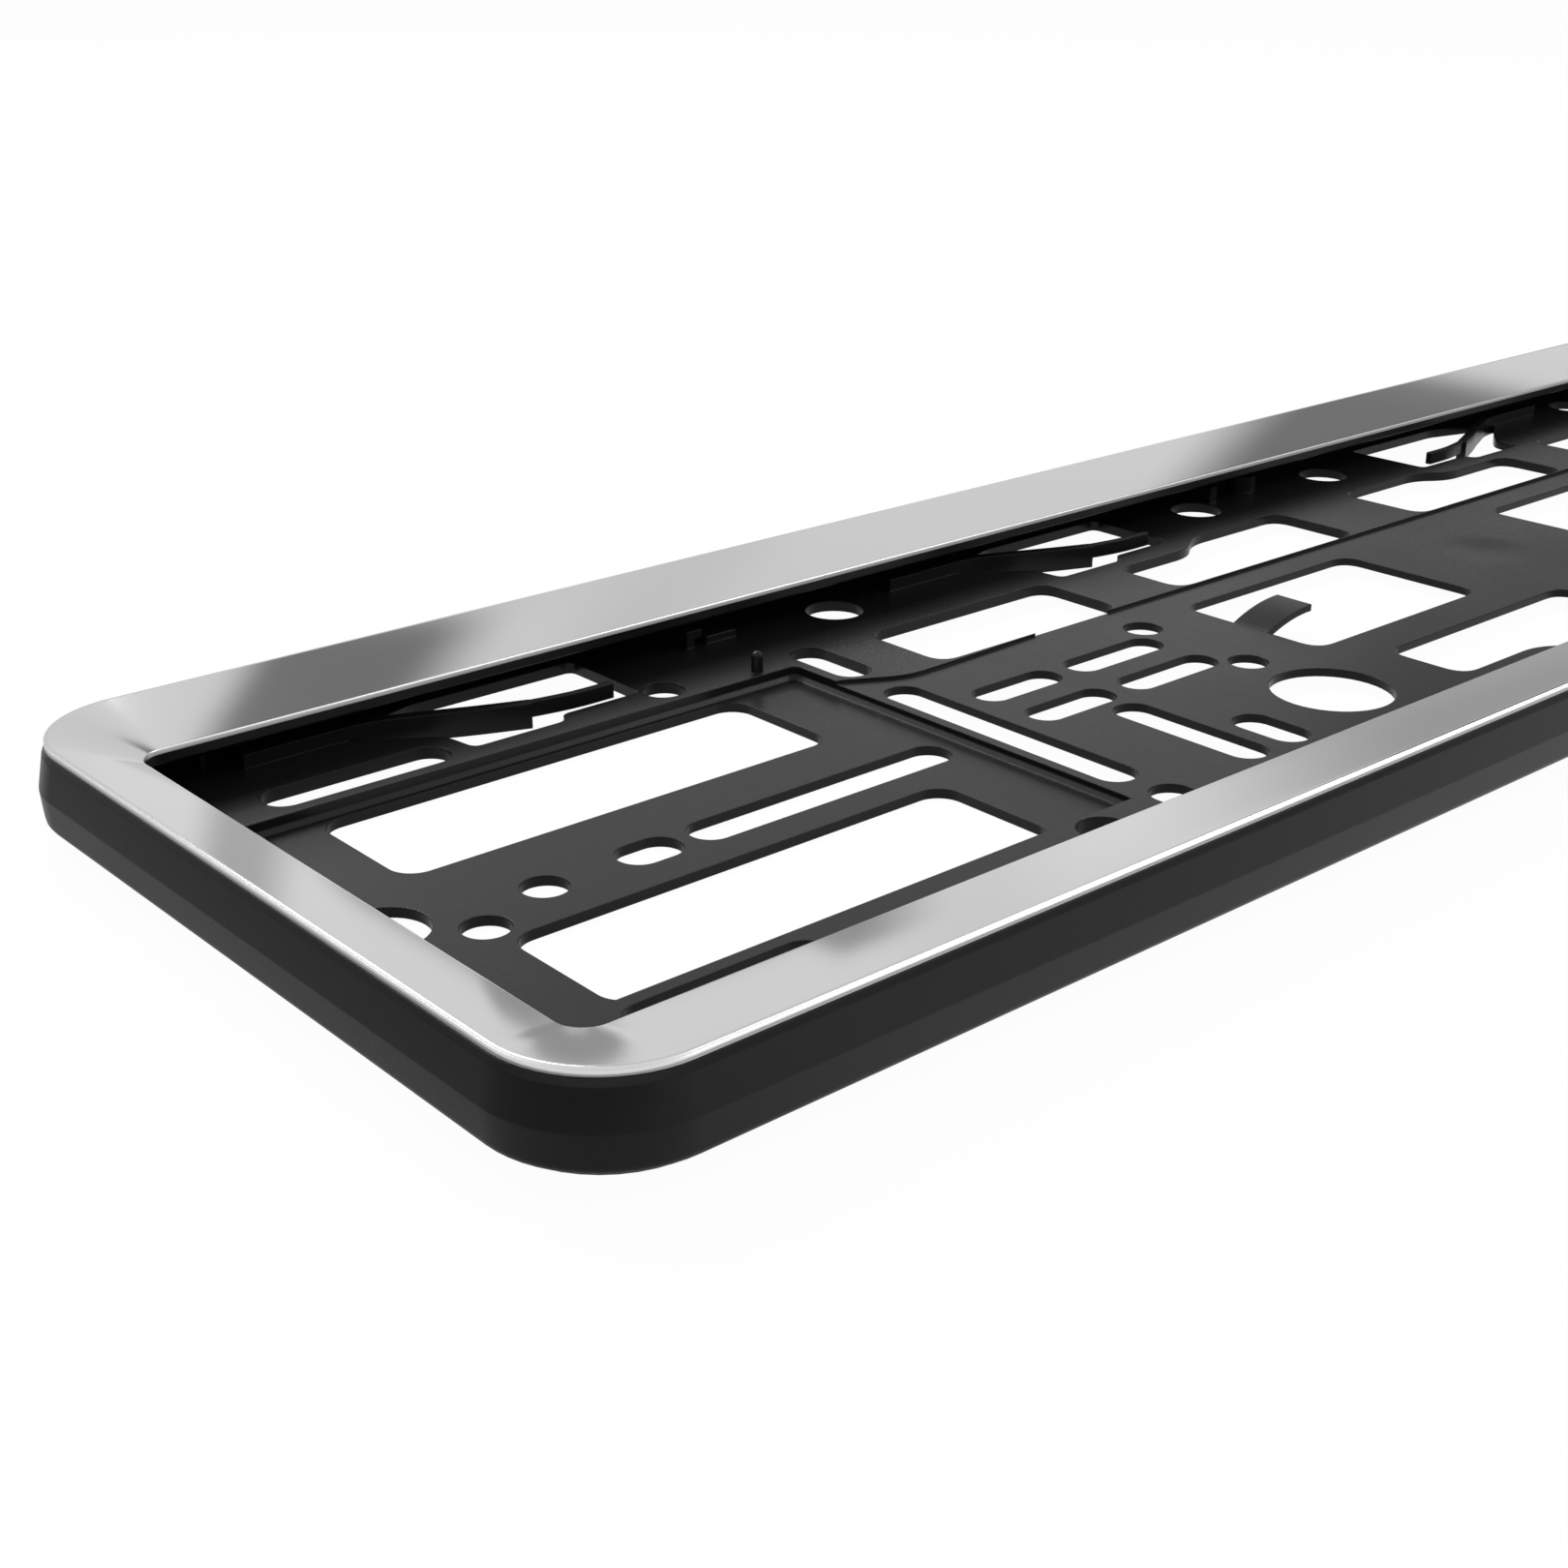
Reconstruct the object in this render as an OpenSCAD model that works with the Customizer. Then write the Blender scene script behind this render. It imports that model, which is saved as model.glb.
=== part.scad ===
// Number plate holder for one long plate, in millimetres.
// A perforated carrier is screwed flat to the bumper. The plate lies on the carrier's spring
// blades, and a black surround with a bright trim clips round it and laps over its edges.
// X runs along the plate, Y across it towards the upper side, Z up from the bumper.

/* [Plate and window] */
// Length of the number plate
plate_w = 520; // [500:1:540]
// Height of the number plate
plate_d = 110; // [105:1:120]
// How far the trim laps over each end of the plate
lap_end = 6.2; // [3:0.1:9]
// How far the trim laps over each long edge of the plate
lap_side = 3.2; // [2:0.1:6]
// Corner radius of the window
window_r = 4; // [2:0.5:8]

/* [Trim] */
// Width of the bright band at each end
band_end = 11.2; // [9:0.1:16]
// Width of the bright band along each long side
band_side = 15.1; // [13:0.1:20]
// Radius of the trim's outer corners
corner_r = 15; // [10:0.5:20]
// Height of the trim's ridge above the bumper
ridge_z = 14.8; // [13.5:0.1:18]
// Drop of the band from the ridge to the lip
band_drop = 3.3; // [2:0.1:4]
// Thickness of the trim's sheet
sheet_t = 0.8; // [0.6:0.05:1]
// Height of the trim's turned-down outer edge
edge_h = 1.1; // [1:0.1:1.6]
// Radius of the roll along the ridge
ridge_r = 0.35; // [0.2:0.05:0.7]
// Crown of the band between the ridge and the lip
band_crown = 0.05; // [0:0.01:0.6]

/* [Surround] */
// Wall thickness of the surround
wall_t = 2; // [1.6:0.1:2.4]
// How far the wall's crease stands out past the trim
skirt_out = 1.4; // [0.8:0.1:2]
// Height of the wall's crease above the bumper
skirt_crease_z = 7.8; // [6:0.1:9]
// How far the chamfer under the trim runs out past it
ledge_out = 0.45; // [0.2:0.05:0.6]
// Height of the chamfer under the trim
ledge_h = 0.9; // [0.5:0.1:1.5]
// How far the wall's foot stands out past the trim
foot_out = 1.1; // [0.6:0.1:1.6]
// Radius along the wall's foot
foot_r = 1.2; // [0.6:0.1:1.4]
// Height of the wall's foot above the bumper
foot_z = 2.6; // [1.6:0.1:3]
// Thickness of the flange that carries the trim
flange_t = 1.6; // [1.2:0.1:2]
// Distance of the flange's edge behind the trim's lip
flange_back = 0.5; // [0.2:0.1:1]
// Clearance between the trim and the surround
trim_gap = 0.1; // [0.05:0.05:0.3]

/* [Carrier] */
// Clearance between the carrier and the surround's wall
carrier_gap = 0.4; // [0.2:0.1:0.8]
// Height of the strips above the bumper
strip_z = 3.6; // [3.2:0.1:4.2]
// Thickness of the strips
strip_t = 1.9; // [1.4:0.1:2.2]
// Thickness of the bay floors
floor_t = 1.5; // [1.2:0.1:2]
// Thickness of the bay walls
bay_wall_t = 1.5; // [1.2:0.1:2.4]
// Length of the middle between the two bays
mid_w = 291.4; // [280:0.1:300]
// Width of the strips along the sides of the bays
side_strip = 29.4; // [28:0.1:31]
// Width of the strips past the ends of the bays
end_strip = 10; // [8:0.1:14]
// Corner radius of a bay
bay_r = 1.6; // [1:0.1:3]
// Width of the cove at the foot of the bay walls
cove = 0.7; // [0.3:0.1:1]
// Depth of the middle recess
recess_h = 0.5; // [0.3:0.05:0.8]
// Radius of the middle recess's corners
recess_r = 3; // [1:0.1:5]
// Radius of the cone-shaped dimple in the middle
dimple_r = 10.7; // [8:0.1:14]
// Depth of the dimple
dimple_h = 0.5; // [0.3:0.05:0.8]

/* [Holes] */
// Width of the screw slots
slot_w = 7; // [6:0.1:7.6]
// Width of the short slots in the middle recess
short_slot_w = 6.5; // [5.5:0.1:7]
// Radius of the stud holes in the strips
stud_hole_r = 5.2; // [4:0.1:6]
// Radius of the cable holes in the middle recess
cable_hole_r = 10; // [8:0.1:11]
// Radius of the holes at the ends of the bays
end_hole_r = 6.2; // [5:0.1:7]
// Radius of the screw holes
screw_hole_r = 3.4; // [2.5:0.1:3.8]
// Radius of the holes near the carrier's corners
corner_hole_r = 2.6; // [2:0.1:4]
// Radius of the holes before the lower edge
front_hole_r = 4; // [3:0.1:4.5]
// Distance of the stud holes from the carrier's long edges
stud_edge = 12.1; // [10:0.1:14]
// Distance of the slots beside the bays from the bays
slot_beside = 5.7; // [5:0.1:7]
// Distance of the corner holes from the carrier's ends
corner_hole_end = 16; // [14:0.5:20]
// Distance of the corner holes from the carrier's long edges
corner_hole_edge = 14.9; // [12:0.1:18]
// Width of the rib between the two windows of a bay
bay_rib = 23.4; // [20:0.1:26]
// Distance of a bay's windows from its long sides
bay_side = 1.6; // [1.2:0.1:4]
// Distance of a bay's windows from its outer end
bay_outer_end = 18; // [16:0.5:22]
// Distance of a bay's windows from its inner end
bay_inner_end = 14.3; // [12:0.1:18]
// Corner radius of the windows
window_corner_r = 4; // [2:0.5:6]

/* [Spring blades] */
// Length of a spring blade with its root
blade_len = 63.5; // [56:0.5:68]
// Room across the strip for a blade to spring in
blade_room = 21.6; // [18:0.1:22]
// Width of the strip left behind a blade's room
blade_edge = 3.7; // [3:0.1:5]
// Distance of the outer blades' roots from the carrier's ends
blade_end = 28; // [24:0.5:32]
// Thickness of a blade
blade_t = 2; // [1.4:0.1:2.4]
// Thickness of a blade's tip
tip_t = 1.2; // [0.8:0.1:1.4]
// Height of the blades above the strips
blade_rise = 2.2; // [1.5:0.1:3]
// How far a tip's lower edge is raised above the blade's
tip_lift = 1.6; // [0.8:0.1:2]

/* [Hidden] */
$fn = 64;
cut = 1;            // overrun of every cut
arc_steps = 6;      // steps along a softened corner
ring_steps = 14;    // steps round each corner of the frame

// Half sizes that the three pieces share
window_hx = plate_w / 2 - lap_end;
window_hy = plate_d / 2 - lap_side;
trim_hx = window_hx + band_end;
trim_hy = window_hy + band_side;
lip_z = ridge_z - band_drop;
seat_drop = sheet_t + trim_gap;
wall_inset = wall_t - skirt_out;
carrier_inset = wall_inset + carrier_gap;
carrier_hx = trim_hx - carrier_inset;
carrier_hy = trim_hy - carrier_inset;
mid_hx = mid_w / 2;
bay_hx = (carrier_hx - end_strip - mid_hx) / 2;
bay_hy = carrier_hy - side_strip;
bay_x = mid_hx + bay_hx;
room_y = carrier_hy - blade_edge - blade_room;
strip_under = strip_z - strip_t;
mid_z = strip_z - recess_h;
foot_round = min(foot_r, (wall_t + foot_out - skirt_out) * 0.7);

// Colours
carrier_black = [0.13, 0.13, 0.14];
surround_black = [0.10, 0.10, 0.11];
bright_steel = [0.76, 0.77, 0.78];

function lerp(a, b, t) = a + (b - a) * t;
function at(list, i) = list[(i + len(list)) % len(list)];

// A bend from a to b that leaves both lines towards v
function bend(a, v, b) = [
    for (i = [0:arc_steps]) let (t = i / arc_steps) lerp(lerp(a, v, t), lerp(v, b, t), t)
];

// A closed outline with its corners softened by up to r
function softened(points, r) = [
    for (i = [0:len(points) - 1])
        let (
            v = points[i],
            a = at(points, i - 1) - v,
            b = at(points, i + 1) - v,
            reach_a = min(r / norm(a), 0.48),
            reach_b = min(r / norm(b), 0.48)
        )
            each bend(v + a * reach_a, v, v + b * reach_b)
];

// A smooth line through every point
function smooth_line(points, steps) = [
    for (i = [0:len(points) - 2])
        let (
            p0 = points[max(i - 1, 0)],
            p1 = points[i],
            p2 = points[i + 1],
            p3 = points[min(i + 2, len(points) - 1)]
        )
            for (k = [0:steps - 1])
                let (t = k / steps)
                    (p1 * 2 + (p2 - p0) * t + (p0 * 2 - p1 * 5 + p2 * 4 - p3) * t * t
                        + (p1 * 3 - p0 - p2 * 3 + p3) * t * t * t) / 2,
    points[len(points) - 1]
];

// One side of a line, half a thickness away
function side_of(line, half_t) = [
    for (i = [0:len(line) - 1])
        let (
            a = line[max(i - 1, 0)],
            b = line[min(i + 1, len(line) - 1)],
            along = (b - a) / norm(b - a)
        )
            line[i] + [-along[1], along[0]] * half_t
];

function backwards(list) = [for (i = [len(list) - 1:-1:0]) list[i]];

// A band of material along a line
module ribbon(line, t) {
    polygon(concat(side_of(line, t / 2), backwards(side_of(line, -t / 2))));
}

// A rounded rectangle as a ring of points: half sizes, corner radius and height
function ring(loop) = [
    for (q = [0:3])
        for (i = [0:ring_steps])
            let (
                angle = 90 * (q + i / ring_steps),
                side_x = q == 0 || q == 3 ? 1 : -1,
                side_y = q < 2 ? 1 : -1
            )
                [
                    side_x * (loop[0] - loop[2]) + loop[2] * cos(angle),
                    side_y * (loop[1] - loop[2]) + loop[2] * sin(angle),
                    loop[3]
                ]
];

function wall_faces(loops, per_ring, closed) = [
    for (i = [0:len(loops) - (closed ? 1 : 2)])
        for (j = [0:per_ring - 1])
            let (
                i2 = (i + 1) % len(loops),
                j2 = (j + 1) % per_ring,
                a = i * per_ring + j,
                b = i * per_ring + j2,
                c = i2 * per_ring + j2,
                d = i2 * per_ring + j
            )
                each [[a, d, c], [a, c, b]]
];

// A frame whose section runs through the loops and back to the first
module frame_loft(loops) {
    per_ring = 4 * (ring_steps + 1);
    polyhedron(
        points = [for (loop = loops) each ring(loop)],
        faces = wall_faces(loops, per_ring, true),
        convexity = 8
    );
}

// A closed block round the Z axis whose sides run through rings of points, lowest first
module points_loft(rings) {
    per_ring = len(rings[0]);
    top = len(rings) - 1;
    low_middle = len(rings) * per_ring;
    polyhedron(
        points = concat(
            [for (points = rings) each points],
            [[0, 0, rings[0][0][2]], [0, 0, rings[top][0][2]]]
        ),
        faces = concat(
            [for (j = [0:per_ring - 1]) [j, (j + 1) % per_ring, low_middle]],
            wall_faces(rings, per_ring, false),
            [
                for (j = [0:per_ring - 1])
                    [top * per_ring + (j + 1) % per_ring, top * per_ring + j, low_middle + 1]
            ]
        ),
        convexity = 4
    );
}

module block_loft(loops) {
    points_loft([for (loop = loops) ring(loop)]);
}

// Loops of the frame: inset from the trim's outline, outset from the window, and in between
function rim_loop(inset, z) = [trim_hx - inset, trim_hy - inset, corner_r - inset, z];
function lip_loop(outset, z) = [window_hx + outset, window_hy + outset, window_r + outset, z];

// The band from the ridge to the lip, with close steps that keep both its edges crisp. It starts
// inset from the trim's outline, is lowered by a drop and ends outset from the window.
band_shares = [0, 0.02, 0.25, 0.5, 0.75, 0.98, 1];
function band(inset, drop, outset) = [
    for (share = band_shares)
        lerp(rim_loop(inset, ridge_z - drop), lip_loop(outset, lip_z - drop), share)
            + [0, 0, 0, band_crown * 4 * share * (1 - share)]
];

// The bright trim: a sheet with a turned-down edge, a rolled ridge, a broad band and a lip
module trim() {
    lip_roll = ridge_r / 2;
    color(bright_steel)
        frame_loft(concat(
            [
                rim_loop(0, ridge_z - edge_h),
                for (angle = [0:22.5:67.5])
                    rim_loop(ridge_r * (1 - cos(angle)), ridge_z - ridge_r * (1 - sin(angle)))
            ],
            band(ridge_r, 0, lip_roll),
            [
                for (angle = [30:30:90])
                    lip_loop(lip_roll * (1 - sin(angle)), lip_z - lip_roll * (1 - cos(angle)))
            ],
            backwards(band(sheet_t, sheet_t, 0)),
            [rim_loop(sheet_t, ridge_z - edge_h)]
        ));
}

// The black surround: a leaning wall with a rounded foot and a flange that carries the trim
module surround() {
    ledge_z = ridge_z - edge_h - trim_gap;
    color(surround_black)
        frame_loft(concat(
            [
                for (angle = [0:22.5:90])
                    rim_loop(
                        foot_round * (1 - sin(angle)) - foot_out,
                        foot_z + foot_round * (1 - cos(angle))
                    ),
                rim_loop(-skirt_out, skirt_crease_z),
                rim_loop(-ledge_out, ledge_z - ledge_h),
                rim_loop(0, ledge_z),
                rim_loop(seat_drop, ledge_z)
            ],
            band(seat_drop, seat_drop, flange_back),
            backwards(band(wall_inset, seat_drop + flange_t, flange_back)),
            [rim_loop(wall_inset, foot_z)]
        ));
}

// Both halves of the carrier, or all four quarters of it
module both_ends() {
    children();
    mirror([1, 0, 0]) children();
}

module four_ways() {
    both_ends() children();
    mirror([0, 1, 0]) both_ends() children();
}

module rounded_rect(w, d, r) {
    square([w - 2 * r, d], center = true);
    square([w, d - 2 * r], center = true);
    for (x = [-1, 1], y = [-1, 1])
        translate([x * (w / 2 - r), y * (d / 2 - r)]) circle(r);
}

// A slot with round ends, as long as its two end points say
module slot(a, b, w) {
    long = norm(b - a);
    translate((a + b) / 2)
        rotate(atan2(b[1] - a[1], b[0] - a[0])) {
            square([max(long - w, w / 8), w], center = true);
            for (side = [-1, 1]) translate([side * (long - w) / 2, 0]) circle(w / 2);
        }
}

// Places on the left half, written as shares so that they follow the sizes around them. The
// same shares serve the right half, mirrored. In the middle they are shares of its half length
// and of the distance from the centre to the blades' rooms.
function mid_place(share) = [-share[0] * mid_hx, share[1] * room_y];
// In a bay they are shares of its half length and half width, counted from its middle
function bay_place(share) = [-bay_x - share[0] * bay_hx, share[1] * bay_hy];
// Near a blade they are shares of its length and room, counted from its tip's end of the room
function blade_place(tip_x, share) = [
    -tip_x - share[0] * blade_len, room_y + share[1] * blade_room
];

// Where the rooms of the outer and the inner blades end, at the blades' tips
inner_tip_share = 0.2965;
outer_tip_x = carrier_hx - blade_end - blade_len;
inner_tip_x = inner_tip_share * mid_hx;

end_slot_shares = [0.7415, 0.178];
back_slot_shares = [[0.963, 1.044], [0.963, 0.63]];
front_slot_shares = [[0.961, -0.86], [0.961, -1.136]];
stud_hole_shares = [0.833, 0.147];
back_screw_share = [-0.05, 0.042];
front_screw_share = [-0.235, 0.019];

module strip_holes() {
    slot_y = bay_hy + slot_beside;
    four_ways() {
        slot(
            [bay_place([end_slot_shares[0], 0])[0], slot_y],
            [bay_place([end_slot_shares[1], 0])[0], slot_y],
            slot_w
        );
        for (share = stud_hole_shares)
            translate([mid_place([share, 0])[0], carrier_hy - stud_edge]) circle(stud_hole_r);
        translate([corner_hole_end - carrier_hx, carrier_hy - corner_hole_edge])
            circle(corner_hole_r);
    }
    both_ends() {
        slot(mid_place(back_slot_shares[0]), mid_place(back_slot_shares[1]), slot_w);
        slot(mid_place(front_slot_shares[0]), mid_place(front_slot_shares[1]), slot_w);
        translate(blade_place(outer_tip_x, back_screw_share)) circle(slot_w / 2);
        mirror([0, 1, 0])
            translate(blade_place(outer_tip_x, front_screw_share)) circle(front_hole_r);
    }
}

// Windows beside the middle: one plain, one with a deep end and a slanted shoulder
plain_window_shares = [[0.867, 0.539], [0.562, 0.539], [0.562, 0.997], [0.867, 0.997]];
deep_window_shares = [
    [0.446, 0.547], [0.076, 0.547], [0.076, 1.031], [0.26, 1.031], [0.3, 0.919], [0.446, 0.919]
];
strap_window_shares = [[0.497, -0.343], [0.167, -0.343], [0.167, 0.377], [0.497, 0.377]];

module window(shares, r) {
    polygon(softened([for (share = shares) mid_place(share)], r));
}

module middle_windows() {
    both_ends() {
        window(plain_window_shares, window_corner_r);
        window(deep_window_shares, window_corner_r);
        mirror([0, 1, 0]) window(deep_window_shares, window_corner_r);
        window(strap_window_shares, window_corner_r);
    }
}

// Slots in the middle recess that run along the plate, by their ends
short_slot_shares = [
    [[0.768, 0.162], [0.618, 0.162]],
    [[0.915, 0.166], [0.79, 0.166]],
    [[0.914, -0.115], [0.789, -0.115]],
    [[0.766, -0.12], [0.616, -0.12]]
];
// Slots in the middle recess that run across the plate, by their ends
cross_slot_shares = [
    [[0.964, 0.476], [0.964, -0.771]],
    [[0.815, -0.242], [0.815, -0.943]],
    [[0.745, -0.615], [0.745, -0.943]]
];
small_hole_shares = [[0.596, 0.304], [0.596, -0.256]];
cable_hole_share = [0.6, -0.677];

module middle_holes() {
    both_ends() {
        for (ends = short_slot_shares)
            slot(mid_place(ends[0]), mid_place(ends[1]), short_slot_w);
        for (ends = cross_slot_shares)
            slot(mid_place(ends[0]), mid_place(ends[1]), slot_w);
        for (share = small_hole_shares) translate(mid_place(share)) circle(screw_hole_r);
        translate(mid_place(cable_hole_share)) circle(cable_hole_r);
    }
}

bay_slot_shares = [[[0.212, -0.065], [0.022, -0.065]], [[-0.018, -0.065], [-0.928, -0.065]]];
bay_hole_shares = [[0.667, -0.2], [0.436, -0.065]];
end_hole_share = [0.852, 0.022];

module bay_holes() {
    window_w = 2 * bay_hx - bay_outer_end - bay_inner_end;
    window_d = bay_hy - bay_side - bay_rib / 2;
    window_x = (bay_outer_end - bay_inner_end) / 2 - bay_x;
    both_ends() {
        for (side = [-1, 1])
            translate([window_x, side * (bay_rib + window_d) / 2])
                rounded_rect(window_w, window_d, window_corner_r);
        for (ends = bay_slot_shares)
            slot(bay_place(ends[0]), bay_place(ends[1]), slot_w);
        for (share = bay_hole_shares) translate(bay_place(share)) circle(screw_hole_r);
        translate(bay_place(end_hole_share)) circle(end_hole_r);
    }
}

// The room that a blade springs in, and the blade from its root to its tip
room_shares = [
    [0, 0.12], [0, 1], [0.488, 1], [0.709, 0.815], [0.74, 0.76], [0.74, 0.68],
    [0.575, 0.38], [0.537, 0.282], [0.524, 0], [0.26, 0], [0.244, 0.12]
];
blade_shares = [[1, 0.713], [0.709, 0.713], [0.575, 0.593], [0.422, 0.398], [0.302, 0.259]];
tip_shares = [[0.33, 0.285], [0.19, 0.215], [0.07, 0.208]];
room_corner_r = 1.6;

function blade_points(tip_x, shares) = [for (share = shares) blade_place(tip_x, share)];

module blade_rooms() {
    four_ways()
        for (tip_x = [outer_tip_x, inner_tip_x])
            polygon(softened(blade_points(tip_x, room_shares), room_corner_r));
}

module spring_blades() {
    blade_h = strip_t + blade_rise;
    four_ways()
        for (tip_x = [outer_tip_x, inner_tip_x]) {
            translate([0, 0, strip_under])
                linear_extrude(blade_h)
                    ribbon(smooth_line(blade_points(tip_x, blade_shares), 4), blade_t);
            translate([0, 0, strip_under + tip_lift])
                linear_extrude(blade_h - tip_lift)
                    ribbon(smooth_line(blade_points(tip_x, tip_shares), 4), tip_t);
        }
}

// Small locating pins, posts and catches on the strips
pin_r = 1;
pin_h = 2.6;
post_w = 1.6;
post_h = 3;
post_cap = 0.9;
catch_size = [6.5, 1.4, 1.3];
boss_r = 3.1;
boss_h = 3.4;
pillar_w = 2;
pillar_h = 3.4;
pillar_turn = 18;
corner_post_size = [1, 1, 2];
dome_pin_share = [-0.874, 1.047];
post_share = [-0.299, 0.667];
catch_share = [-0.405, 0.667];
corner_post_share = [1.063, 0.907];
boss_share = [-0.649, 0.806];

// Places a fitting on the strip, sunk a little so that it also meets the recess
module on_strip(point) {
    translate([point[0], point[1], mid_z]) children();
}

// A plain upright block whose height counts from the strip
module block(size) {
    translate([-size[0] / 2, -size[1] / 2, 0]) cube([size[0], size[1], size[2] + recess_h]);
}

module small_fittings() {
    both_ends() {
        on_strip(bay_place(dome_pin_share)) {
            cylinder(r = pin_r, h = pin_h + recess_h);
            translate([0, 0, pin_h + recess_h]) sphere(pin_r);
        }
        on_strip(blade_place(outer_tip_x, post_share)) {
            block([post_w, post_w, post_h]);
            translate([post_w / 2, 0, post_h - post_cap])
                block([post_w * 2, post_w, post_cap]);
        }
        on_strip(blade_place(outer_tip_x, catch_share)) block(catch_size);
        on_strip(blade_place(outer_tip_x, corner_post_share)) block(corner_post_size);
    }
    on_strip(blade_place(inner_tip_x, boss_share)) cylinder(r = boss_r, h = boss_h + recess_h);
    // A pillar stands beside the left inner stud hole, clear of its edge
    on_strip([mid_place([stud_hole_shares[1], 0])[0], carrier_hy - stud_edge])
        translate((stud_hole_r + pillar_w) * [cos(pillar_turn), sin(pillar_turn)])
            block([pillar_w, pillar_w, pillar_h]);
}

// Strap tongues that curl up from the outer edge of the strap windows
tongue_w = 7.4;
tongue_t = 1.2;
tongue_len = 12;
tongue_rise = 2.6;
tongue_middle_share = 0.01;

module strap_tongues() {
    curl_r = (tongue_len * tongue_len + tongue_rise * tongue_rise) / (2 * tongue_rise);
    sweep = asin(tongue_len / curl_r);
    root = mid_place([strap_window_shares[0][0], tongue_middle_share]);
    root_z = curl_r - tongue_rise;
    both_ends()
        translate([root[0] + tongue_len, root[1] + tongue_w / 2, mid_z + tongue_rise - curl_r])
            rotate([90, 0, 0])
                linear_extrude(tongue_w)
                    polygon(concat(
                        [for (i = [0:8]) curl_r * [-sin(sweep * i / 8), cos(sweep * i / 8)]],
                        [
                            [-tongue_len - tongue_t, root_z],
                            [-tongue_len - tongue_t, root_z - tongue_t]
                        ],
                        [
                            for (i = [8:-1:0])
                                (curl_r - tongue_t) * [-sin(sweep * i / 8), cos(sweep * i / 8)]
                        ]
                    ));
}

// A bay is a pan whose floor lies on the bumper
module bay_pans() {
    both_ends()
        translate([-bay_x, 0, 0])
            block_loft([
                [bay_hx + bay_wall_t - cove, bay_hy + bay_wall_t - cove, bay_r + bay_wall_t - cove, 0],
                [bay_hx + bay_wall_t, bay_hy + bay_wall_t, bay_r + bay_wall_t, cove],
                [bay_hx + bay_wall_t, bay_hy + bay_wall_t, bay_r + bay_wall_t, mid_z]
            ]);
}

module bay_hollows() {
    both_ends()
        translate([-bay_x, 0, 0])
            block_loft([
                [bay_hx - cove, bay_hy - cove, bay_r, floor_t],
                [bay_hx, bay_hy, bay_r, floor_t + cove],
                [bay_hx, bay_hy, bay_r, strip_z + cut]
            ]);
}

// The middle recess, with one straight edge and one that bends round the plain windows
recess_shares = [
    [1.008, -1.039], [1.008, 0.677], [0.94, 0.541], [0.915, 0.516], [0.82, 0.523], [0.7, 0.541]
];

module middle_recess() {
    left = [for (share = recess_shares) mid_place(share)];
    right = [for (point = backwards(left)) [-point[0], point[1]]];
    translate([0, 0, mid_z])
        linear_extrude(recess_h + cut)
            polygon(softened(concat(left, right), recess_r));
    translate([0, 0, mid_z - dimple_h])
        cylinder(r1 = 0, r2 = dimple_r * (1 + cut / dimple_h), h = dimple_h + cut);
}

// The carrier: strips, bays, middle recess, holes and windows in one moulding
module carrier() {
    color(carrier_black) {
        difference() {
            union() {
                translate([0, 0, strip_under])
                    linear_extrude(strip_t)
                        rounded_rect(2 * carrier_hx, 2 * carrier_hy, corner_r - carrier_inset);
                bay_pans();
            }
            bay_hollows();
            middle_recess();
            translate([0, 0, -cut])
                linear_extrude(strip_z + 2 * cut) {
                    strip_holes();
                    middle_windows();
                    middle_holes();
                    bay_holes();
                    blade_rooms();
                }
        }
        spring_blades();
        small_fittings();
        strap_tongues();
    }
}

carrier();
surround();
trim();
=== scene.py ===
import math

import bpy
from mathutils import Matrix, Vector

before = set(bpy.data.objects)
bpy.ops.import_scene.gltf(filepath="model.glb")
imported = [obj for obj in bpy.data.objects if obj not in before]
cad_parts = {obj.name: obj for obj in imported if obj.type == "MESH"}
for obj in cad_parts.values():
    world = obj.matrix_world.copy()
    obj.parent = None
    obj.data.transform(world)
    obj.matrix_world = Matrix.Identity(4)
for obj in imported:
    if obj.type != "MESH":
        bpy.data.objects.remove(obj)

bl_info = {
    "name": "Number Plate Holder",
    "version": (1, 0, 0),
    "blender": (4, 5, 0),
    "location": "View3D > Sidebar > Plate Holder",
    "description": "Finishes a number plate holder with a bright trim and sets up its studio",
    "category": "Object",
}

MM = 0.001

# The photograph's camera, in the part's frame and in metres
CAMERA_PLACE = Vector((-0.3693, -0.2177, 0.1241))
CAMERA_RIGHT = Vector((0.754599, -0.656187, 0.000318))
CAMERA_UP = Vector((0.253090, 0.291494, 0.922484))
CAMERA_SENSOR = 36.0
# The level direction that the camera looks in
AHEAD = (0.6563, 0.7545)

# Heights of the trim's ridge and of the foot of its turned-down edge
RIDGE_Z = 14.8 * MM
EDGE_FOOT_Z = 13.7 * MM
# How far the edge's normals are turned up, at its foot and at the ridge
BEAD_TURN = (0.25, 1.2)
# Where the surface counts as edge: the upward part of its normal, from fully to not at all
BEAD_SLOPES = (0.3, 0.8)
ROUGH_EDGE_SLOPES = (0.75, 0.97)

# Levels that reflections see, where 1 is white. Behind the camera the world is dark low down
BEHIND_LOW, BEHIND_HIGH = 0.2, 1.25
BEHIND_RISE = (0.15, 0.4)
WORLD_AHEAD = 0.9
AHEAD_TURN = (-0.1, 0.6)
CEILING = 1.1
CEILING_RISE = (0.75, 0.95)
# The world's level for light that falls on matt surfaces
WORLD_FILL = 0.5
# How much of the floor's white glows, and its dimmer part left of the holder in reflections
FLOOR_GLOW = 0.97
FLOOR_DIM = 0.72
FLOOR_DIM_EDGE = (-0.32, -0.2)
FLOOR_PAPER = 0.8
# The level round a flag's dark area
FLAG_RIM = 0.99
# The far end of a flag's sill stands higher: from where to where, and by how much, in mm
SILL_STEP = (78, 96)
SILL_RISE = 20


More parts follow.
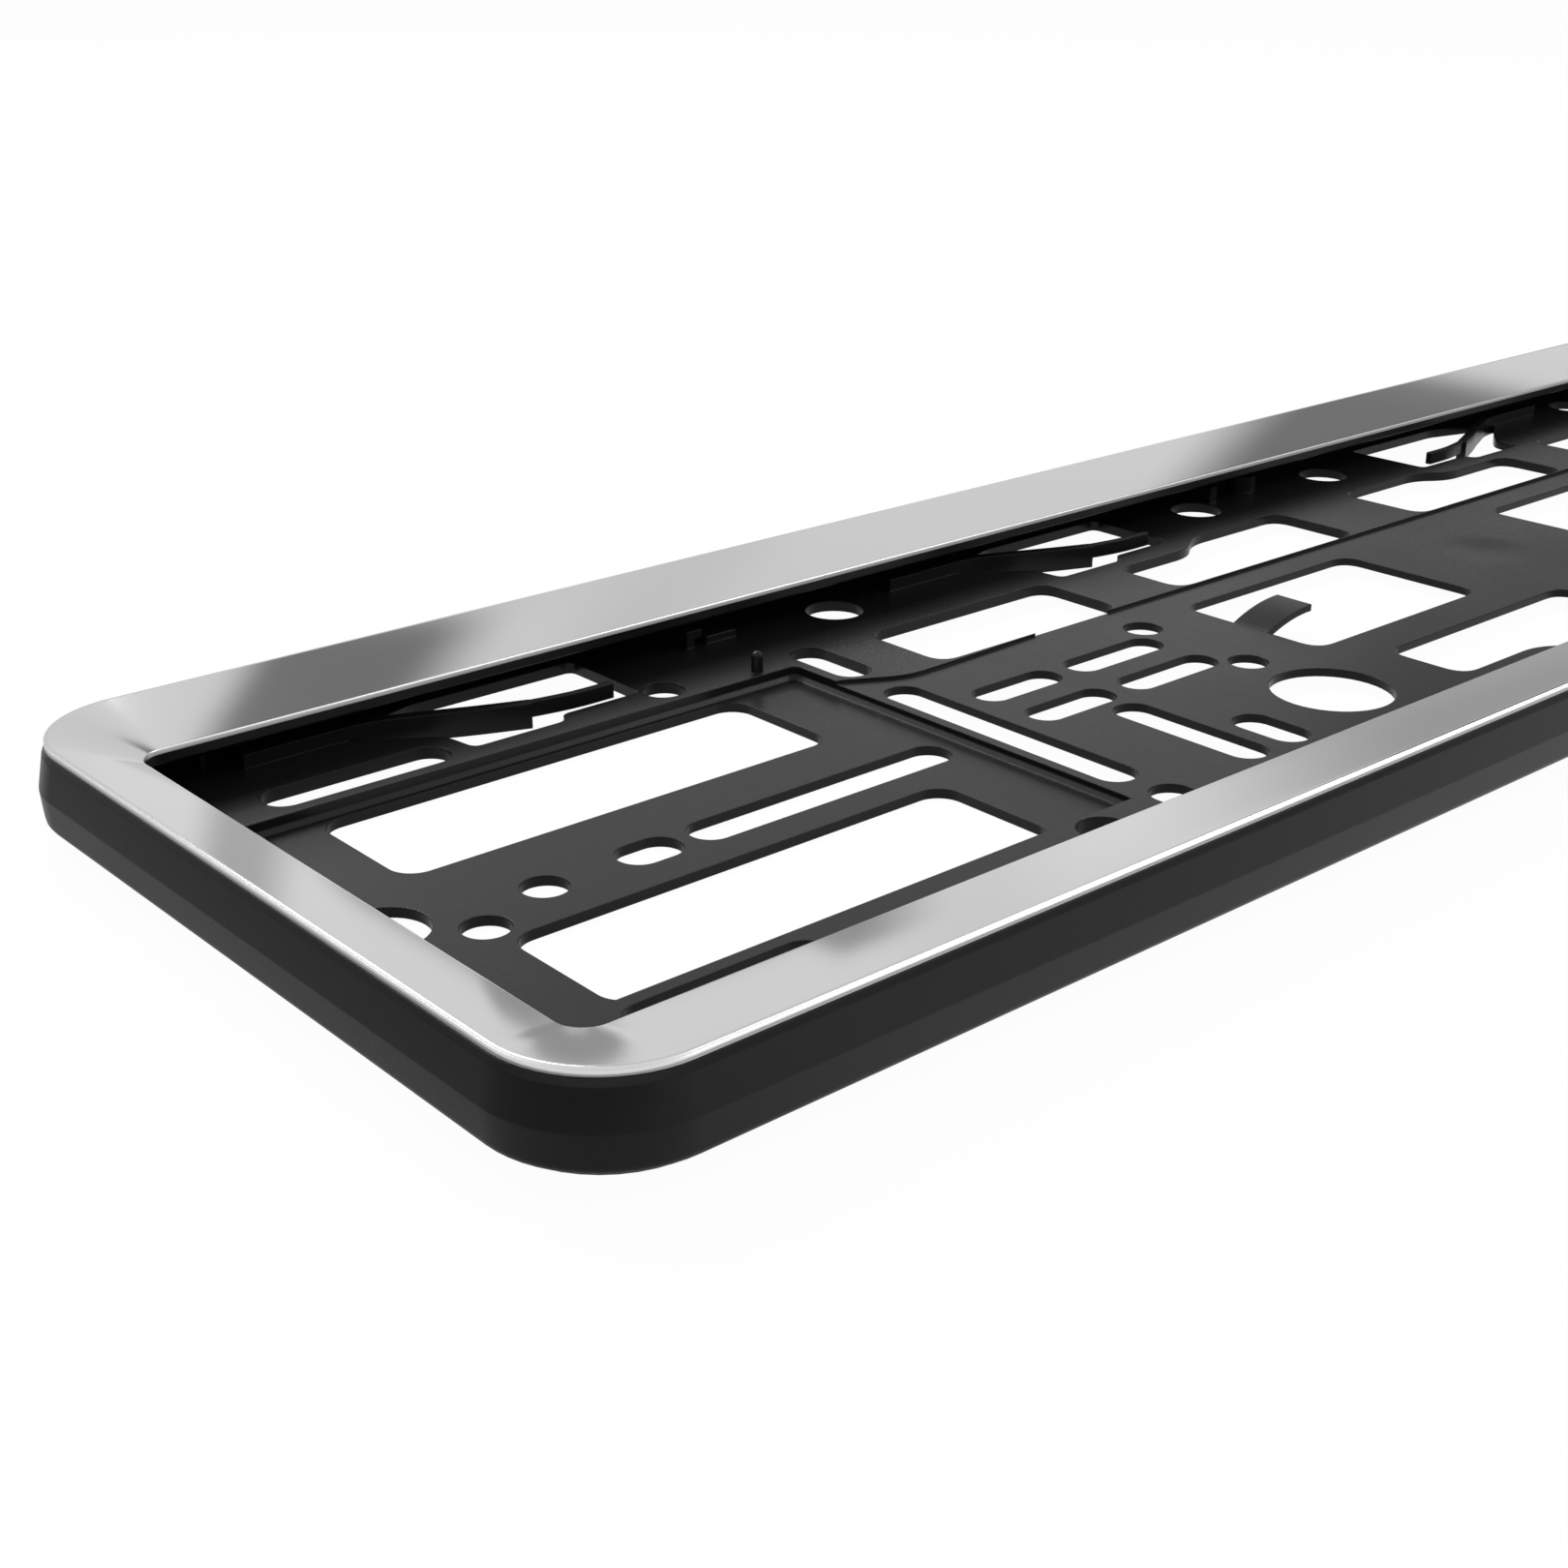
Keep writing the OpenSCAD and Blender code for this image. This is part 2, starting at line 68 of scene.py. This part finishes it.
class Nodes:
    """A small hand for building a node tree."""

    def __init__(self, owner):
        owner.use_nodes = True
        self.tree = owner.node_tree
        self.tree.nodes.clear()

    def add(self, kind, **settings):
        """A node of that kind. Settings that name an input socket are its values or links."""
        node = self.tree.nodes.new(kind)
        for name, value in settings.items():
            if hasattr(node, name):
                setattr(node, name, value)
            else:
                self.feed(node, name.replace("_", " "), value)
        return node

    def feed(self, node, socket, value):
        """Sets a socket's value, or links another socket into it."""
        target = node.inputs[socket]
        if isinstance(value, bpy.types.NodeSocket):
            self.tree.links.new(value, target)
        else:
            target.default_value = value

    def math(self, operation, a, b=0.0, clamp=False):
        """The result of one math step."""
        node = self.add("ShaderNodeMath", operation=operation, use_clamp=clamp)
        self.feed(node, 0, a)
        self.feed(node, 1, b)
        return node.outputs[0]

    def noise(self, vector, scale, detail=3.0, roughness=0.5):
        """A noise pattern over the vector."""
        node = self.add(
            "ShaderNodeTexNoise", Vector=vector, Scale=scale, Detail=detail, Roughness=roughness
        )
        return node.outputs["Fac"]

    def ramp(self, factor, stops):
        """A ramp between two greys, each given by its place and its value."""
        node = self.add("ShaderNodeValToRGB")
        self.feed(node, "Fac", factor)
        for element, (place, value) in zip(node.color_ramp.elements, stops):
            element.position = place
            element.color = grey(value)
        return node.outputs["Color"]

    def step(self, value, low, high):
        """A soft step from 0 at low to 1 at high."""
        node = self.add("ShaderNodeMapRange", interpolation_type="SMOOTHSTEP")
        for socket, given in (("Value", value), ("From Min", low), ("From Max", high)):
            self.feed(node, socket, given)
        return node.outputs[0]

    def fall(self, value, low, high):
        """A soft step from 1 at low to 0 at high."""
        return self.math("SUBTRACT", 1.0, self.step(value, low, high))

    def span(self, value, rise, fall):
        """1 between a soft rise and a soft fall, each given by its two places."""
        return self.math("MULTIPLY", self.step(value, *rise), self.fall(value, *fall))

    def between(self, low, high, share):
        """A value between two others."""
        rise = self.math("MULTIPLY", self.math("SUBTRACT", high, low), share)
        return self.math("ADD", low, rise)

    def split(self, vector):
        """The X, Y and Z of a vector."""
        return self.add("ShaderNodeSeparateXYZ", Vector=vector).outputs

    def around(self, noise, spread):
        """How far a noise pattern leaves its middle, times a spread."""
        return self.math("MULTIPLY", self.math("SUBTRACT", noise, 0.5), spread)

    def bump(self, height, strength, distance, normal):
        """A normal that follows a height on top of another normal."""
        node = self.add(
            "ShaderNodeBump", Height=height, Strength=strength, Distance=distance, Normal=normal
        )
        return node.outputs["Normal"]

    def mix(self, share, first, second):
        """A shader between two others."""
        node = self.add("ShaderNodeMixShader")
        for socket, given in enumerate((share, first, second)):
            self.feed(node, socket, given)
        return node.outputs[0]

    def surface(self, kind, shader):
        """Ends the tree with its output."""
        self.feed(self.add(kind), "Surface", shader)


def millimetres(places):
    """Places in metres, from millimetres."""
    return [place * MM for place in places]


def grey(value):
    """An opaque grey."""
    return (value, value, value, 1.0)


def beaded_edge(nodes, place):
    """The trim's upright outer edge: how much edge a point is, and its normal.

    The normal is turned up, so that the edge takes the light as a rolled bead does.
    """
    normal = nodes.add("ShaderNodeNewGeometry").outputs["Normal"]
    slope = nodes.math("ABSOLUTE", nodes.split(normal)["Z"])
    turn = nodes.between(*BEAD_TURN, nodes.step(nodes.split(place)["Z"], EDGE_FOOT_Z, RIDGE_Z))
    lift = nodes.math("MULTIPLY", nodes.fall(slope, *BEAD_SLOPES), turn)
    raised = nodes.add("ShaderNodeVectorMath", operation="ADD")
    nodes.feed(raised, 0, normal)
    nodes.feed(raised, 1, nodes.add("ShaderNodeCombineXYZ", Z=lift).outputs[0])
    unit = nodes.add("ShaderNodeVectorMath", operation="NORMALIZE")
    nodes.feed(unit, 0, raised.outputs[0])
    return nodes.fall(slope, *ROUGH_EDGE_SLOPES), unit.outputs[0]


def steel_material(look):
    """Polished stainless sheet: a faint drawn grain, haze, soft waves and a duller edge."""
    material = bpy.data.materials.new("bright_steel")
    nodes = Nodes(material)
    place = nodes.add("ShaderNodeTexCoord").outputs["Object"]
    haze = nodes.noise(place, 18.0, detail=4.0)
    grain = nodes.noise(place, 2600.0, detail=2.0)
    wave = nodes.noise(place, 9.0, detail=1.0)
    edge, bead = beaded_edge(nodes, place)
    even = nodes.between(look.steel_roughness, look.edge_roughness, edge)
    fine = nodes.bump(grain, 0.03, 0.01 * MM, bead)
    wavy = nodes.bump(wave, 0.05, 0.3 * MM, fine)
    shader = nodes.add(
        "ShaderNodeBsdfPrincipled", Metallic=1.0, Normal=wavy,
        Roughness=nodes.math("ADD", nodes.around(haze, look.steel_haze), even),
    )
    tone = nodes.ramp(haze, ((0.3, look.steel_tone * 0.98), (0.7, look.steel_tone)))
    nodes.feed(shader, "Base Color", tone)
    nodes.surface("ShaderNodeOutputMaterial", shader.outputs["BSDF"])
    return material


def plastic_material(name, tone, roughness, shine, rounding, grain_scale):
    """Satin moulded plastic: a fine spark-eroded grain, soft flow marks and rounded edges."""
    material = bpy.data.materials.new(name)
    nodes = Nodes(material)
    place = nodes.add("ShaderNodeTexCoord").outputs["Object"]
    grain = nodes.noise(place, grain_scale, detail=3.0, roughness=0.6)
    flow = nodes.noise(place, 22.0, detail=3.0)
    uneven = nodes.math("ADD", nodes.around(flow, 0.18), nodes.around(grain, 0.12))
    edge = nodes.add("ShaderNodeBevel", samples=4)
    nodes.feed(edge, "Radius", rounding)
    shader = nodes.add(
        "ShaderNodeBsdfPrincipled", IOR=1.5, Roughness=nodes.math("ADD", uneven, roughness),
        Normal=nodes.bump(grain, 0.5, 0.02 * MM, edge.outputs["Normal"]),
    )
    nodes.feed(shader, "Specular IOR Level", shine)
    tint = nodes.ramp(flow, ((0.25, tone * 0.85), (0.75, tone * 1.15)))
    nodes.feed(shader, "Base Color", tint)
    nodes.surface("ShaderNodeOutputMaterial", shader.outputs["BSDF"])
    return material


def smoothing_group(limit, upper_limit, height):
    """A modifier's node group that joins the facets and smooths the edges within an angle.

    Edges above the height take the upper limit instead. The normals that came with the mesh
    are left behind in the modifier, and the mesh itself stays as it is.
    """
    group = bpy.data.node_groups.new("smooth_by_angle", "GeometryNodeTree")
    for direction in ("INPUT", "OUTPUT"):
        group.interface.new_socket("Geometry", in_out=direction, socket_type="NodeSocketGeometry")
    add, link = group.nodes.new, group.links.new
    bare = add("GeometryNodeRemoveAttribute")
    bare.inputs["Name"].default_value = "custom_normal"
    merge = add("GeometryNodeMergeByDistance")
    merge.inputs["Distance"].default_value = 0.001 * MM
    faces = add("GeometryNodeSetShadeSmooth")
    edges = add("GeometryNodeSetShadeSmooth")
    edges.domain = "EDGE"
    smooth = add("FunctionNodeCompare")
    smooth.operation = "LESS_EQUAL"
    split = add("ShaderNodeSeparateXYZ")
    allowed = add("ShaderNodeMapRange")
    for name, value in (("From Min", height), ("From Max", height + 0.1 * MM),
                        ("To Min", limit), ("To Max", upper_limit)):
        allowed.inputs[name].default_value = value
    link(add("GeometryNodeInputPosition").outputs[0], split.inputs[0])
    link(split.outputs["Z"], allowed.inputs["Value"])
    link(allowed.outputs[0], smooth.inputs["B"])
    link(add("GeometryNodeInputMeshEdgeAngle").outputs["Unsigned Angle"], smooth.inputs["A"])
    link(smooth.outputs["Result"], edges.inputs["Shade Smooth"])
    link(add("NodeGroupInput").outputs[0], bare.inputs["Geometry"])
    link(bare.outputs["Geometry"], merge.inputs["Geometry"])
    link(merge.outputs["Geometry"], faces.inputs["Geometry"])
    link(faces.outputs["Geometry"], edges.inputs["Geometry"])
    link(edges.outputs["Geometry"], add("NodeGroupOutput").inputs[0])
    return group


def dress(node_name, material, limit, upper_limit=None, height=0.0, keep_flats=True):
    """Gives a CAD node a material, and smooth shading over its gentle curves."""
    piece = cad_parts[node_name]
    piece.data.materials.clear()
    piece.data.materials.append(material)
    modifier = piece.modifiers.new("smooth_by_angle", "NODES")
    modifier.node_group = smoothing_group(
        math.radians(limit), math.radians(upper_limit or limit), height
    )
    if keep_flats:
        flats = piece.modifiers.new("keep_flats_flat", "WEIGHTED_NORMAL")
        flats.keep_sharp = True
        flats.weight = 100


class HolderLook(bpy.types.PropertyGroup):
    """How the holder's three pieces are finished."""

    steel_tone: bpy.props.FloatProperty(
        name="Steel Tone", description="Reflectance of the bright trim",
        default=0.57, min=0.3, max=1.0, subtype="FACTOR",
    )
    steel_roughness: bpy.props.FloatProperty(
        name="Steel Roughness", description="Mean roughness of the bright trim",
        default=0.08, min=0.02, max=0.8, subtype="FACTOR",
    )
    edge_roughness: bpy.props.FloatProperty(
        name="Edge Roughness", description="Roughness of the trim's rolled edge",
        default=0.32, min=0.02, max=1.0, subtype="FACTOR",
    )
    steel_haze: bpy.props.FloatProperty(
        name="Steel Haze", description="How far the trim's roughness varies",
        default=0.02, min=0.0, max=0.3, subtype="FACTOR",
    )
    carrier_tone: bpy.props.FloatProperty(
        name="Carrier Tone", description="Reflectance of the carrier's plastic",
        default=0.008, min=0.0, max=0.2, subtype="FACTOR",
    )
    carrier_roughness: bpy.props.FloatProperty(
        name="Carrier Roughness", description="Mean roughness of the carrier",
        default=0.3, min=0.05, max=1.0, subtype="FACTOR",
    )
    carrier_shine: bpy.props.FloatProperty(
        name="Carrier Shine", description="Specular level of the carrier",
        default=0.14, min=0.0, max=1.0, subtype="FACTOR",
    )
    surround_tone: bpy.props.FloatProperty(
        name="Surround Tone", description="Reflectance of the surround's plastic",
        default=0.008, min=0.0, max=0.2, subtype="FACTOR",
    )
    surround_roughness: bpy.props.FloatProperty(
        name="Surround Roughness", description="Mean roughness of the surround",
        default=0.32, min=0.05, max=1.0, subtype="FACTOR",
    )
    surround_shine: bpy.props.FloatProperty(
        name="Surround Shine", description="Specular level of the surround",
        default=0.2, min=0.0, max=1.0, subtype="FACTOR",
    )
    rounding: bpy.props.FloatProperty(
        name="Edge Rounding", description="How softly light runs over the plastic's small edges",
        default=0.35 * MM, min=0.0, max=2 * MM, subtype="DISTANCE", unit="LENGTH", precision=5,
    )


class StudioSetup(bpy.types.PropertyGroup):
    """How the holder is lit and seen."""

    key_power: bpy.props.FloatProperty(
        name="Key Power", description="Power of the large light behind the holder",
        default=18.0, min=0.0, max=500.0, unit="POWER",
    )
    side_power: bpy.props.FloatProperty(
        name="Side Power", description="Power of the small light at the holder's right",
        default=3.0, min=0.0, max=500.0, unit="POWER",
    )
    floor_size: bpy.props.FloatProperty(
        name="Floor Size", description="Length of the square floor's sides",
        default=14.0, min=2.0, max=100.0, subtype="DISTANCE", unit="LENGTH",
    )
    lens: bpy.props.FloatProperty(
        name="Lens", description="Focal length of the camera",
        default=50.1, min=10.0, max=300.0, unit="CAMERA",
    )


class HOLDER_OT_trim(bpy.types.Operator):
    """Finish the bright trim"""

    bl_idname = "holder.trim"
    bl_label = "Finish Trim"

    def execute(self, context):
        dress("trim", steel_material(context.scene.holder_look), 40, keep_flats=False)
        return {"FINISHED"}


class HOLDER_OT_surround(bpy.types.Operator):
    """Finish the black surround"""

    bl_idname = "holder.surround"
    bl_label = "Finish Surround"

    def execute(self, context):
        look = context.scene.holder_look
        plastic = plastic_material(
            "surround_plastic", look.surround_tone, look.surround_roughness,
            look.surround_shine, look.rounding, grain_scale=1500.0,
        )
        # The upper wall's creases are gentle, so a smaller angle counts as one there
        dress("surround", plastic, 28, upper_limit=9, height=6 * MM)
        return {"FINISHED"}


class HOLDER_OT_carrier(bpy.types.Operator):
    """Finish the perforated carrier"""

    bl_idname = "holder.carrier"
    bl_label = "Finish Carrier"

    def execute(self, context):
        look = context.scene.holder_look
        plastic = plastic_material(
            "carrier_plastic", look.carrier_tone, look.carrier_roughness,
            look.carrier_shine, look.rounding, grain_scale=1100.0,
        )
        dress("carrier", plastic, 28)
        return {"FINISHED"}


def white_backdrop_material():
    """White where the camera or a reflection sees it, pale where it takes light."""
    material = bpy.data.materials.new("backdrop_white")
    nodes = Nodes(material)
    path = nodes.add("ShaderNodeLightPath")
    seen = nodes.math("ADD", path.outputs["Is Camera Ray"], path.outputs["Is Glossy Ray"])
    seen = nodes.math("ADD", seen, path.outputs["Is Transmission Ray"], clamp=True)
    across = nodes.split(nodes.add("ShaderNodeTexCoord").outputs["Object"])["X"]
    dim = nodes.math("MULTIPLY", nodes.fall(across, *FLOOR_DIM_EDGE), FLOOR_DIM)
    dim = nodes.math("MULTIPLY", dim, path.outputs["Is Glossy Ray"])
    glow = nodes.add(
        "ShaderNodeEmission", Color=grey(1.0), Strength=nodes.math("SUBTRACT", 1.0, dim)
    )
    paper = nodes.add("ShaderNodeBsdfDiffuse", Color=grey(FLOOR_PAPER))
    white = nodes.mix(
        nodes.math("MULTIPLY", seen, FLOOR_GLOW), paper.outputs["BSDF"], glow.outputs["Emission"]
    )
    nodes.surface("ShaderNodeOutputMaterial", white)
    return material


def card(name, size, material):
    """A flat stage card at the origin, facing up."""
    half_w, half_h = size[0] / 2, size[1] / 2
    mesh = bpy.data.meshes.new(name)
    mesh.from_pydata(
        [(-half_w, -half_h, 0), (half_w, -half_h, 0), (half_w, half_h, 0), (-half_w, half_h, 0)],
        [],
        [(0, 1, 2, 3)],
    )
    mesh.materials.append(material)
    piece = bpy.data.objects.new(name, mesh)
    bpy.context.scene.collection.objects.link(piece)
    return piece


def flag_material(name, upper, lower, change, belt, sill, reach):
    """What reflections see on a studio flag: a dark area inside a bright rim.

    Places are in millimetres on the flag. upper and lower give the dark area's level and the
    soft edges of its left and right side, for the flag's upper and lower part, and change the
    heights between which one goes over into the other. belt gives an even belt's level and the
    soft edges of its foot and top, sill the level of the lowest part, the edge that it starts
    at and the edge of its top, and reach the soft left and right ends of the whole flag.
    """
    material = bpy.data.materials.new(name)
    nodes = Nodes(material)
    place = nodes.split(nodes.add("ShaderNodeTexCoord").outputs["Object"])
    across, up = place["X"], place["Y"]
    share = nodes.step(up, *millimetres(change))
    level, *edges = [
        nodes.between(low, high, share)
        for low, high in zip(
            (lower[0], *millimetres(lower[1] + lower[2])),
            (upper[0], *millimetres(upper[1] + upper[2])),
        )
    ]
    dark = nodes.span(across, edges[:2], edges[2:])
    drop = nodes.math("SUBTRACT", FLAG_RIM, level)
    level = nodes.math("SUBTRACT", FLAG_RIM, nodes.math("MULTIPLY", dark, drop))
    inside = nodes.span(up, millimetres(belt[1]), millimetres(belt[2]))
    level = nodes.between(level, belt[0], inside)
    rise = nodes.between(0.0, SILL_RISE * MM, nodes.step(across, *millimetres(SILL_STEP)))
    lowest = nodes.math(
        "MULTIPLY",
        nodes.fall(nodes.math("SUBTRACT", up, rise), *millimetres(sill[2])),
        nodes.step(across, *millimetres(sill[1])),
    )
    level = nodes.between(level, sill[0], lowest)
    glow = nodes.add("ShaderNodeEmission", Color=grey(1.0), Strength=level)
    clear = nodes.add("ShaderNodeBsdfTransparent")
    seen = nodes.span(across, *map(millimetres, reach))
    nodes.surface(
        "ShaderNodeOutputMaterial",
        nodes.mix(seen, clear.outputs["BSDF"], glow.outputs["Emission"]),
    )
    return material


def flag(name, foot, heading, size, material):
    """An upright studio flag that only reflections see. Its X runs right and its Y up."""
    turn = math.radians(heading)
    right = Vector((math.sin(turn), -math.cos(turn), 0))
    up = Vector((0, 0, 1))
    piece = card(name, size, material)
    piece.data.transform(Matrix.Translation((0, size[1] / 2, 0)))
    axes = Matrix((right, up, right.cross(up))).transposed().to_4x4()
    piece.matrix_world = Matrix.Translation(foot) @ axes
    piece.visible_camera = False
    piece.visible_diffuse = False
    piece.visible_shadow = False
    piece.visible_transmission = False


def area_light(name, centre, size, look_at, power):
    """A rectangular soft light that faces a point."""
    data = bpy.data.lights.new(name, "AREA")
    data.shape = "RECTANGLE"
    data.size, data.size_y = size
    data.energy = power
    light = bpy.data.objects.new(name, data)
    light.location = centre
    away = Vector(look_at) - Vector(centre)
    light.rotation_euler = away.to_track_quat("-Z", "Y").to_euler()
    bpy.context.scene.collection.objects.link(light)


def light_world(scene):
    """White for the camera, graded for reflections and plain for all other light."""
    scene.world = scene.world or bpy.data.worlds.new("studio")
    nodes = Nodes(scene.world)
    path = nodes.add("ShaderNodeLightPath").outputs
    clear = nodes.math("ADD", path["Is Camera Ray"], path["Is Transmission Ray"])
    mirrored = path["Is Glossy Ray"]
    heading = nodes.split(nodes.add("ShaderNodeTexCoord").outputs["Generated"])
    ahead = nodes.math(
        "ADD",
        nodes.math("MULTIPLY", heading["X"], AHEAD[0]),
        nodes.math("MULTIPLY", heading["Y"], AHEAD[1]),
    )
    up = heading["Z"]
    level = nodes.between(BEHIND_LOW, BEHIND_HIGH, nodes.step(up, *BEHIND_RISE))
    level = nodes.between(level, WORLD_AHEAD, nodes.step(ahead, *AHEAD_TURN))
    level = nodes.between(level, CEILING, nodes.step(up, *CEILING_RISE))
    strength = nodes.math("ADD", clear, nodes.math("MULTIPLY", mirrored, level))
    plain = nodes.math("SUBTRACT", 1.0, nodes.math("ADD", clear, mirrored, clamp=True))
    strength = nodes.math("ADD", strength, nodes.math("MULTIPLY", plain, WORLD_FILL))
    sky = nodes.add("ShaderNodeBackground", Color=grey(1.0), Strength=strength)
    nodes.surface("ShaderNodeOutputWorld", sky.outputs["Background"])


def place_camera(scene, lens):
    """Sets the camera where the photograph's stood."""
    data = bpy.data.cameras.new("camera")
    data.lens = lens
    data.sensor_width = CAMERA_SENSOR
    camera = bpy.data.objects.new("camera", data)
    back = CAMERA_RIGHT.cross(CAMERA_UP)
    turn = Matrix((CAMERA_RIGHT, CAMERA_UP, back)).transposed().to_4x4()
    camera.matrix_world = Matrix.Translation(CAMERA_PLACE) @ turn
    scene.collection.objects.link(camera)
    scene.camera = camera


class HOLDER_OT_studio(bpy.types.Operator):
    """Build the floor, flags, lights, world and camera"""

    bl_idname = "holder.studio"
    bl_label = "Build Studio"

    def execute(self, context):
        scene = context.scene
        setup = scene.holder_studio
        card("floor", (setup.floor_size, setup.floor_size), white_backdrop_material())
        light_world(scene)

        # The far band's left part and the near-left corner mirror this one
        tall = flag_material(
            "tall_flag", upper=(0.26, (-32, -8), (48, 92)), lower=(0.57, (-34, -18), (-8, 14)),
            change=(90, 300), belt=(0.95, (98, 130), (330, 375)),
            sill=(0.4, (5, 35), (56, 68)), reach=((-100, -60), (100, 140)),
        )
        flag("tall_flag", (0.045, 0.44, 0.0), 54, (0.3, 0.56), tall)
        # The far band's right part and the near band mirror this one
        long = flag_material(
            "long_flag", upper=(0.26, (-27, 12), (340, 349)), lower=(0.44, (-130, -10), (340, 349)),
            change=(80, 150), belt=(0.97, (80, 92), (116, 134)),
            sill=(0.5, (-130, -10), (40, 60)), reach=((-190, -140), (342, 349)),
        )
        flag("long_flag", (0.285, 0.215, 0.0), 31, (0.7, 0.4), long)

        area_light("key", (-0.1, 1.0, 1.05), (0.8, 0.6), (0, 0, 0), setup.key_power)
        area_light("side", (0.65, -0.55, 0.8), (0.4, 0.4), (0, 0, 0), setup.side_power)
        place_camera(scene, setup.lens)
        scene.view_settings.view_transform = "Standard"
        return {"FINISHED"}


class HOLDER_PT_sidebar(bpy.types.Panel):
    """Sidebar panel of the number plate holder"""

    bl_label = "Number Plate Holder"
    bl_idname = "HOLDER_PT_sidebar"
    bl_space_type = "VIEW_3D"
    bl_region_type = "UI"
    bl_category = "Plate Holder"

    def draw(self, context):
        layout = self.layout
        for settings in (context.scene.holder_look, context.scene.holder_studio):
            for name in type(settings).__annotations__:
                layout.prop(settings, name)
        for operator in OPERATORS:
            layout.operator(operator.bl_idname)


OPERATORS = (HOLDER_OT_trim, HOLDER_OT_surround, HOLDER_OT_carrier, HOLDER_OT_studio)
CLASSES = (HolderLook, StudioSetup, *OPERATORS, HOLDER_PT_sidebar)


def register():
    """Registers the classes and the scene's properties."""
    for item in CLASSES:
        bpy.utils.register_class(item)
    bpy.types.Scene.holder_look = bpy.props.PointerProperty(type=HolderLook)
    bpy.types.Scene.holder_studio = bpy.props.PointerProperty(type=StudioSetup)


def unregister():
    """Takes back what register did."""
    del bpy.types.Scene.holder_studio, bpy.types.Scene.holder_look
    for item in reversed(CLASSES):
        bpy.utils.unregister_class(item)


def main():
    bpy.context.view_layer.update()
    register()
    bpy.ops.holder.studio()
    bpy.ops.holder.carrier()
    bpy.ops.holder.surround()
    bpy.ops.holder.trim()
    bpy.context.view_layer.update()


if __name__ == "__main__":
    main()
